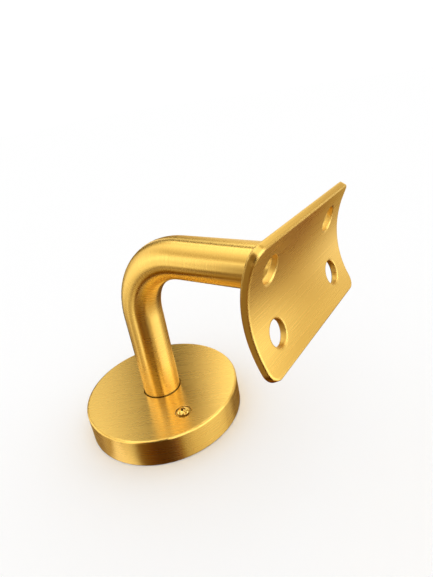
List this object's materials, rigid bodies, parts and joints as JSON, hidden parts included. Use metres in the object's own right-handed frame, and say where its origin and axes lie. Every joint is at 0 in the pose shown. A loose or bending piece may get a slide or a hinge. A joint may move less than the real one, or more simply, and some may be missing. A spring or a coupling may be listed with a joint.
{
  "type": "handrail bracket",
  "caption": "Wall bracket for a round handrail: bent round bar on a covered wall flange, with a rolled saddle plate drilled for rail screws.",
  "frame": {"origin": "centre of the wall face, where the axis of the upright bar meets the wall", "axes": "+Z straight out of the wall along the upright bar, +X the way the arm turns, towards the rail, +Y along the handrail"},
  "size_m": [0.1121, 0.067, 0.0967],
  "materials": {
    "bar": "satin, brushed round the bar",
    "flange": "plain machined",
    "weld": "brushed smooth",
    "cover": "satin, brushed in straight lines on top",
    "screw": "bright",
    "saddle": "satin, brushed along the rail"
  },
  "bodies": {
    "root": {"arm": "bar", "wall_flange": "flange", "flange_weld": "weld", "rosette_cover": "cover", "cover_screw": "screw", "rail_saddle": "saddle", "saddle_weld": "weld"}
  },
  "joints": []
}
